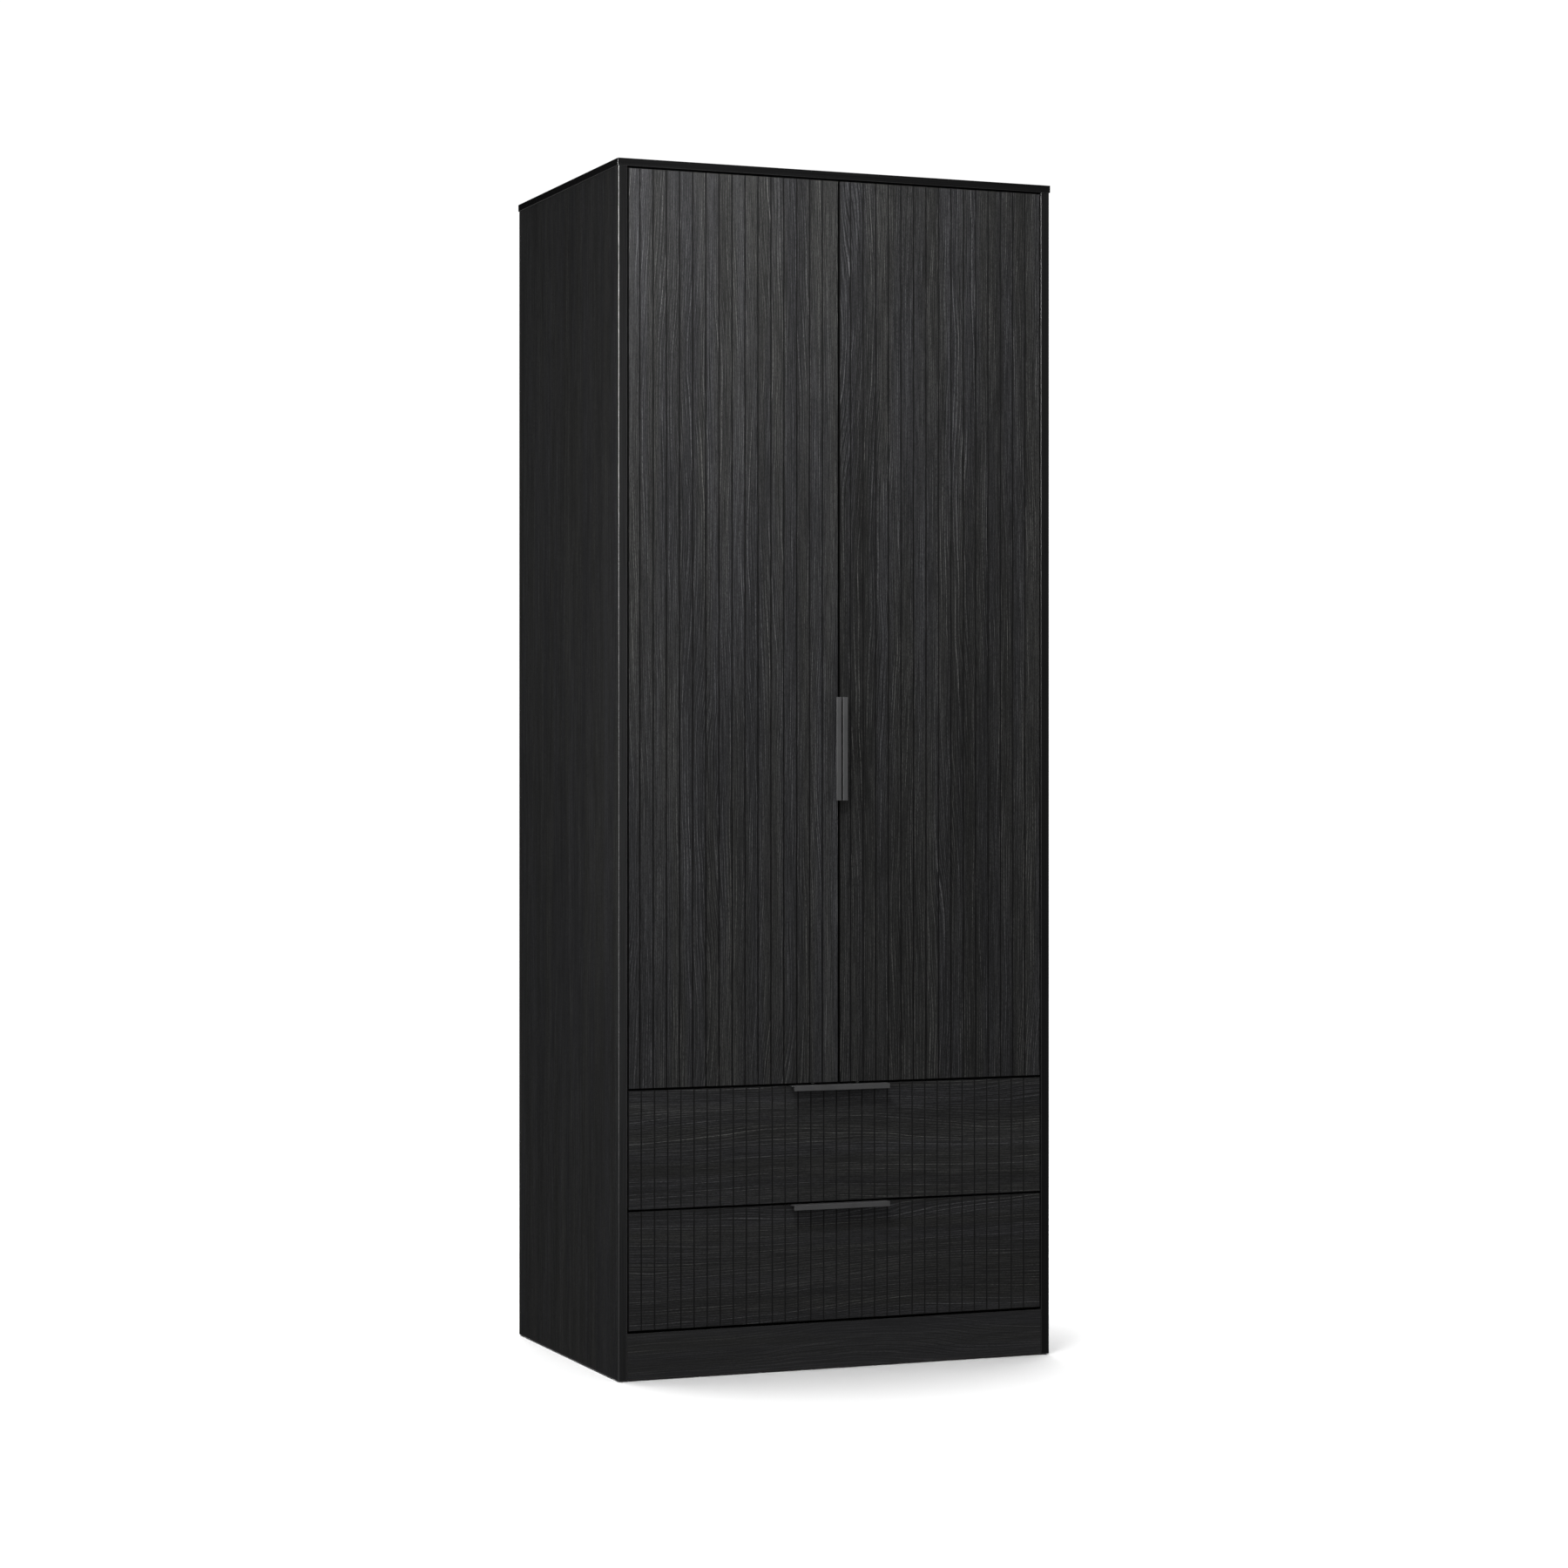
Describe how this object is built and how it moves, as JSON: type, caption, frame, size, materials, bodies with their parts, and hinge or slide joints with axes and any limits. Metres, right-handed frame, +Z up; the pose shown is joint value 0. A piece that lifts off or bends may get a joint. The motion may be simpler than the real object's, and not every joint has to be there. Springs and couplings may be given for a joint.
{
  "type": "wardrobe with doors and drawers",
  "caption": "Free-standing wardrobe in black woodgrain board: fluted doors on concealed hinges over fluted drawers on roller runners, with edge pulls, a hanging rail and a hat shelf.",
  "frame": {"origin": "middle of the footprint, on the floor", "axes": "+X to the right as seen from the front, +Y from the front to the back, +Z up; the doors and drawers are closed at rest"},
  "size_m": [0.77, 0.546, 1.97],
  "materials": {
    "black_board": "satin black woodgrain laminate",
    "dark_metal": "satin black powder coat",
    "hardboard": "dark printed hardboard",
    "liner_board": "grey foil",
    "nickel": "nickel plate",
    "chrome": "bright chrome plate",
    "zinc": "bright zinc plate",
    "runner_steel": "white epoxy coat",
    "roller_nylon": "moulded nylon",
    "white_plastic": "moulded",
    "beech": "fluted beech dowel"
  },
  "bodies": {
    "carcass": {"left_side_panel": "black_board", "right_side_panel": "black_board", "top_panel": "black_board", "hanging_floor": "black_board", "base_panel": "black_board", "front_plinth": "black_board", "rear_plinth": "black_board", "front_top_rail": "black_board", "wall_rail": "black_board", "hat_shelf": "black_board", "back_panel": "hardboard", "shelf_pegs": "nickel", "hanging_rail": "chrome", "left_rail_socket": "chrome", "right_rail_socket": "chrome", "rail_socket_screws": "zinc", "hinge_plate_screws": "zinc", "runner_screws": "zinc", "floor_glides": "white_plastic", "door_bumpers": "white_plastic", "carcass_dowels": "beech", "left_hinge_arms": "nickel", "right_hinge_arms": "nickel", "hinge_plates": "nickel", "upper_runners": "runner_steel", "lower_runners": "runner_steel"},
    "left_door": {"left_door": "black_board", "left_door_pull": "dark_metal", "left_hinge_cups": "nickel", "left_hinge_pins": "zinc", "left_door_screws": "zinc"},
    "right_door": {"right_door": "black_board", "right_door_pull": "dark_metal", "right_hinge_cups": "nickel", "right_hinge_pins": "zinc", "right_door_screws": "zinc"},
    "upper_drawer": {"upper_drawer_front": "black_board", "upper_drawer_left_side": "liner_board", "upper_drawer_right_side": "liner_board", "upper_drawer_back": "liner_board", "upper_drawer_base": "hardboard", "upper_drawer_pull": "dark_metal", "upper_drawer_slides": "runner_steel", "upper_drawer_cams": "zinc", "upper_drawer_screws": "zinc"},
    "lower_drawer": {"lower_drawer_front": "black_board", "lower_drawer_left_side": "liner_board", "lower_drawer_right_side": "liner_board", "lower_drawer_back": "liner_board", "lower_drawer_base": "hardboard", "lower_drawer_pull": "dark_metal", "lower_drawer_slides": "runner_steel", "lower_drawer_cams": "zinc", "lower_drawer_screws": "zinc"},
    "upper_front_rollers": {"upper_front_rollers": "roller_nylon"},
    "upper_rear_rollers": {"upper_rear_rollers": "roller_nylon"},
    "lower_front_rollers": {"lower_front_rollers": "roller_nylon"},
    "lower_rear_rollers": {"lower_rear_rollers": "roller_nylon"}
  },
  "joints": [
    {"name": "left_door_hinge", "type": "hinge", "parent": "carcass", "child": "left_door", "pos_m": [-0.3535, -0.2509, 1.213], "axis": [0, 0, -1], "range_deg": [0, 105]},
    {"name": "right_door_hinge", "type": "hinge", "parent": "carcass", "child": "right_door", "pos_m": [0.3535, -0.2509, 1.213], "axis": [0, 0, 1], "range_deg": [0, 105]},
    {"name": "upper_drawer_slide", "type": "slide", "parent": "carcass", "child": "upper_drawer", "axis": [0, -1, 0], "range_m": [0, 0.33]},
    {"name": "lower_drawer_slide", "type": "slide", "parent": "carcass", "child": "lower_drawer", "axis": [0, -1, 0], "range_m": [0, 0.33]},
    {"name": "upper_front_roller_spin", "type": "hinge", "parent": "carcass", "child": "upper_front_rollers", "pos_m": [0, -0.2255, 0.2982], "axis": [1, 0, 0], "continuous": true},
    {"name": "upper_rear_roller_spin", "type": "hinge", "parent": "upper_drawer", "child": "upper_rear_rollers", "pos_m": [0, 0.1955, 0.2978], "axis": [1, 0, 0], "continuous": true},
    {"name": "lower_front_roller_spin", "type": "hinge", "parent": "carcass", "child": "lower_front_rollers", "pos_m": [0, -0.2255, 0.1032], "axis": [1, 0, 0], "continuous": true},
    {"name": "lower_rear_roller_spin", "type": "hinge", "parent": "lower_drawer", "child": "lower_rear_rollers", "pos_m": [0, 0.1955, 0.1028], "axis": [1, 0, 0], "continuous": true}
  ],
  "couplings": [
    {"joint": "upper_front_roller_spin", "follows": "upper_drawer_slide", "rad_per_m": 117.65},
    {"joint": "upper_rear_roller_spin", "follows": "upper_drawer_slide", "rad_per_m": 117.65},
    {"joint": "lower_front_roller_spin", "follows": "lower_drawer_slide", "rad_per_m": 117.65},
    {"joint": "lower_rear_roller_spin", "follows": "lower_drawer_slide", "rad_per_m": 117.65}
  ]
}
